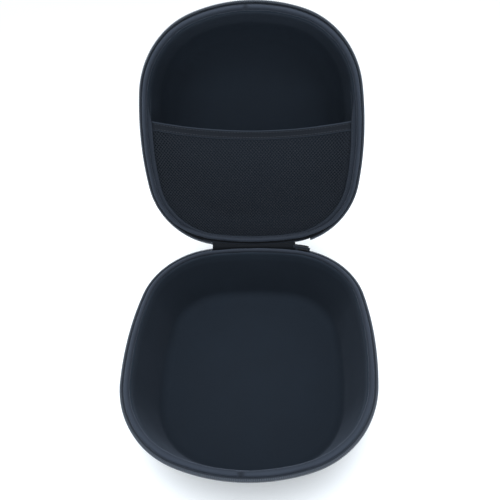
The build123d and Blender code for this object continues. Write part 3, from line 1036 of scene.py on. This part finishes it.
def net():
    bm = bmesh.new()
    count = ceil(2.3 * REAR / CELL)
    turned = Matrix.Translation((0, REAR / 2, NET_LEVEL)) @ Matrix.Diagonal((0.94, 1.06, 1, 1))
    turned = turned @ Matrix.Rotation(pi / 4, 4, "Z")
    bmesh.ops.create_grid(bm, x_segments=count, y_segments=count, size=count * CELL / 2, matrix=turned)
    outside = []
    for face in bm.faces:
        middle = face.calc_center_median()
        inset = where(Vector((middle.x, middle.y, 0)))[1]
        if inset < NET_INSET or not below_the_hem(middle, -1.2 * MM):
            outside.append(face)
    bmesh.ops.delete(bm, geom=outside, context="FACES")
    for vertex in bm.verts:
        x, y = vertex.co.x, vertex.co.y
        dish = cos(pi / 2 * min(1, abs(x) / 0.1)) * sin(pi * max(0, min(1, (y + 0.002) / 0.125)))
        waver = noise.noise(vertex.co / (22 * MM))
        vertex.co += Vector((waver * 0.25 * MM, waver * -0.2 * MM, dish * 0.35 * MM + waver * 0.12 * MM))
    cells = bm.faces[:]
    bmesh.ops.inset_individual(bm, faces=cells, thickness=0.26 * MM, use_even_offset=True)
    bmesh.ops.delete(bm, geom=cells, context="FACES_ONLY")
    area = sum(face.calc_area() for face in bm.faces)
    net = piece(bm, "net_pocket", "lid", NET, ["pocket_mesh"], TO_LID)
    thicken(net, 0.28 * MM, offset=0.0)
    print("cells", len(cells), "of the net, whose strands cover", round(area, 4), "m2")
    return net, area


NET_CLOTH, net_area = net()

# %% [markdown]
# ### Hem and binding
# The hem is an elastic band with firmer edges. It is spun about the centre of its own shallow arc. The
# binding is a flat tape between the roll and the net, and it runs on a little above the hem before it dives
# under the roll.

# %% Hem and binding
BINDING_OUTER, BINDING_INNER, BINDING_TOP = 8.0 * MM, 12.8 * MM, 168 * MM


def heading_where(inset, y, start=0.3, end=2.4):
    """The heading at which the rim passes this y."""
    for _ in range(50):
        middle = (start + end) / 2
        if place(middle, inset).translation.y > y:
            start = middle
        else:
            end = middle
    return start


def hem_ends():
    """The x at which the hem reaches the middle of the binding, on the left and on the right."""
    found = []
    for side in (-1, 1):
        tilted = REAR - POCKET_TOP + 4 * MM - side * HEM_TILT * 98 * MM
        found.append(side * place(heading_where(11.5 * MM, tilted), 11.5 * MM).translation.x)
    return found


def hem_section():
    """Across the band: a flat middle and two firmer, rounder edges, as (radius, height)."""
    low, high, level = HEM_RADIUS, HEM_RADIUS + HEM_WIDTH, NET_LEVEL
    shape = []
    for centre, turn in ((low + 0.9 * MM, pi / 2), (high - 0.9 * MM, -pi / 2)):
        for k in range(9):
            angle = turn + pi * k / 8
            shape.append((centre + cos(angle) * 0.9 * MM, level + sin(angle) * 0.95 * MM))
        side = -1 if turn > 0 else 1
        for share in (0.2, 0.35, 0.5, 0.65, 0.8):
            across = share if side < 0 else 1 - share
            shape.append((low + HEM_WIDTH * (0.1 + 0.8 * across), level + side * 0.62 * MM))
    return shape


def pocket_edges():
    start, end = [asin((x - HEM_CENTRE.x) / (HEM_RADIUS + HEM_WIDTH / 2)) for x in hem_ends()]
    bm = bmesh.new()
    out = Vector((sin(start), cos(start), 0))
    points = [bm.verts.new(HEM_CENTRE + out * r + Vector((0, 0, height))) for r, height in hem_section()]
    edges = join_up(bm, points)
    spin = {"cent": HEM_CENTRE, "axis": (0, 0, -1), "angle": end - start, "steps": 90}
    last = bmesh.ops.spin(bm, geom=points + edges, **spin)["geom_last"]
    bmesh.ops.contextual_create(bm, geom=edges)
    bmesh.ops.contextual_create(bm, geom=edges_of(last))
    bmesh.ops.recalc_face_normals(bm, faces=bm.faces)
    layer = bm.loops.layers.uv.new("cloth")
    for face in bm.faces:
        for loop in face.loops:
            flat = Vector((loop.vert.co.x, loop.vert.co.y, 0)) - HEM_CENTRE
            loop[layer].uv = (atan2(flat.x, flat.y) * HEM_RADIUS, flat.length - HEM_RADIUS)
    loosen(bm, 0.18 * MM, 20 * MM, seed=11.0)
    hem = piece(bm, "pocket_elastic", "lid", HEM_ELASTIC, ["pocket_hem"], TO_LID)
    print("hem", round((end - start) * HEM_RADIUS / MM), "mm long")
    top = heading_where(11.6 * MM, REAR - BINDING_TOP)
    middle = ((BINDING_OUTER + BINDING_INNER) / 2, 3.8 * MM)
    half = ((BINDING_INNER - BINDING_OUTER) / 2, 0.75 * MM)
    bm = sweep(oval(middle, half, 3.5, 26), -top, top)
    lay_map(bm, lambda inset, height: inset)
    for vertex in bm.verts:
        rise = max(0.0, min(1.0, (REAR - BINDING_TOP + 30 * MM - vertex.co.y) / (30 * MM)))
        side = 1 if vertex.co.x > 0 else -1
        vertex.co += Vector((side * 4.6 * MM, 0, 1.1 * MM)) * (rise * rise * (3 - 2 * rise))
    loosen(bm, 0.22 * MM, 12 * MM, seed=7.0)
    binding = piece(bm, "pocket_edge_binding", "lid", BINDING_TAPE, ["pocket_binding"], TO_LID)
    return hem, binding, top


HEM, BINDING, binding_top = pocket_edges()
net_width = 2 * max(abs(v.co.x) for v in NET_CLOTH.data.vertices)
net_flat = (net_width, POCKET_TOP - HEM_SAG / 2 - HEM_WIDTH - NET_INSET)
print("net cut to", [round(side / MM, 1) for side in net_flat], "mm")

# %% [markdown]
# ## Stitches
# Every seam is a row of short stitches, each a small grain of thread that sinks at both ends. They follow
# the same headings as the cloth that they hold.

# %% Stitch rows
STITCH, STITCH_GAP = (2.3 * MM, 0.42 * MM, 0.34 * MM), 3.1 * MM


def grain():
    bm = bmesh.new()
    lying = Matrix.Rotation(pi / 2, 4, "Y")
    bmesh.ops.create_uvsphere(bm, u_segments=6, v_segments=4, radius=0.5, matrix=lying)
    bmesh.ops.scale(bm, vec=STITCH, verts=bm.verts)
    return mesh_of(bm, "grain")


GRAIN = grain()


def seam(name, half, start, end, inset, height, node, gap=STITCH_GAP):
    start, end = on_half(half, start, end)
    spots = [place(turn, inset, height) for turn in headings_along(start, end, gap, inset)]
    return piece(repeat(GRAIN, spots), name, half, THREAD, [node], HALVES[half])


def hem_seams():
    spots = []
    for radius in (HEM_RADIUS + 2.1 * MM, HEM_RADIUS + HEM_WIDTH - 2.1 * MM):
        start, end = [asin((x * 0.97 - HEM_CENTRE.x) / radius) for x in hem_ends()]
        count = round((end - start) * radius / STITCH_GAP)
        for k in range(count):
            turn = start + (end - start) * (k + 0.5) / count
            at = HEM_CENTRE + Vector((sin(turn) * radius, cos(turn) * radius, NET_LEVEL - 0.72 * MM))
            spots.append(Matrix.Translation(at) @ Matrix.Rotation(-turn, 4, "Z"))
    return piece(repeat(GRAIN, spots), "hem_stitches", "lid", THREAD, ["pocket_hem"], TO_LID)


def seams():
    beside = heading_at(HINGE_HALF) + radians(0.6)
    for half in HALVES:
        seam(f"{half}_zip_seam", half, beside, tau - beside, 1.98 * MM, 7.4 * MM, f"{half}_zip_tape")
    strip = heading_at(HINGE_HALF) - radians(0.5)
    for half in HALVES:
        for height in (2.2 * MM, 7.4 * MM):
            name = f"{half}_hinge_seam_{round(height / MM)}"
            seam(name, half, -strip, strip, 1.98 * MM, height, f"{half}_outer_cover")
    seam("binding_stitches", "lid", -binding_top, binding_top, 11.6 * MM, 3.02 * MM, "pocket_binding")
    hem_seams()


seams()
bpy.data.meshes.remove(GRAIN)

# %% [markdown]
# ## Floor, light and camera
# Black cloth only shows its shape by what it reflects, so the light is a wide, cool overhead with a weak
# one from the right front. The floor is white, and bright enough to end in plain white.

# %% Floor and light
def floor_and_light():
    bm = bmesh.new()
    bmesh.ops.create_grid(bm, x_segments=1, y_segments=1, size=6.0)
    mesh = mesh_of(bm, "floor")
    paper = bpy.data.materials.new("white paper")
    paper.use_nodes = True
    sockets = paper.node_tree.nodes["Principled BSDF"].inputs
    sockets["Base Color"].default_value = (0.90, 0.935, 0.965, 1)
    sockets["Roughness"].default_value = 0.9
    sockets["Emission Color"].default_value = (0.9, 0.96, 1, 1)
    sockets["Emission Strength"].default_value = 0.12
    mesh.materials.append(paper)
    floor = bpy.data.objects.new("floor", mesh)
    bpy.context.scene.collection.objects.link(floor)
    world = bpy.data.worlds.new("studio")
    world.use_nodes = True
    sky = world.node_tree.nodes["Background"].inputs
    sky["Color"].default_value = (0.97, 0.985, 1.0, 1)
    sky["Strength"].default_value = 1.0
    bpy.context.scene.world = world


def soft_light(name, place_m, aim_m, size, watts, colour=(0.93, 0.96, 1.0)):
    data = bpy.data.lights.new(name, "AREA")
    data.shape, data.size, data.energy, data.color = "DISK", size, watts, colour
    light = bpy.data.objects.new(name, data)
    light.location = place_m
    light.rotation_euler = (Vector(aim_m) - Vector(place_m)).to_track_quat("-Z", "Y").to_euler()
    bpy.context.scene.collection.objects.link(light)


floor_and_light()
soft_light("overhead", (0.0, 0.03, 1.2), (0, 0.03, 0.08), 0.8, 12.0)
soft_light("right front", (0.8, -0.9, 0.9), (0, 0.05, 0.1), 0.7, 0.5)

# %% Camera
CAMERA_AT, AIM = Vector((0.0238, -0.1927, 0.3523)), Vector((-0.0047, 0.1178, 0.0692))
ROLL, LENS = radians(-3.8), 25.23


def set_camera():
    forward = (AIM - CAMERA_AT).normalized()
    right = forward.cross(Vector((0, 0, 1))).normalized()
    up = right.cross(forward)
    right, up = right * cos(ROLL) + up * sin(ROLL), up * cos(ROLL) - right * sin(ROLL)
    data = bpy.data.cameras.new("camera")
    data.lens, data.sensor_width, data.clip_start = LENS, 36.0, 0.01
    camera = bpy.data.objects.new("camera", data)
    turn = Matrix((right, up, -forward)).transposed().to_4x4()
    camera.matrix_world = Matrix.Translation(CAMERA_AT) @ turn
    bpy.context.scene.collection.objects.link(camera)
    bpy.context.scene.camera = camera
    bpy.context.scene.view_settings.view_transform = "Standard"


set_camera()
print("camera", round((AIM - CAMERA_AT).length, 3), "m from its aim, lens", LENS, "mm")
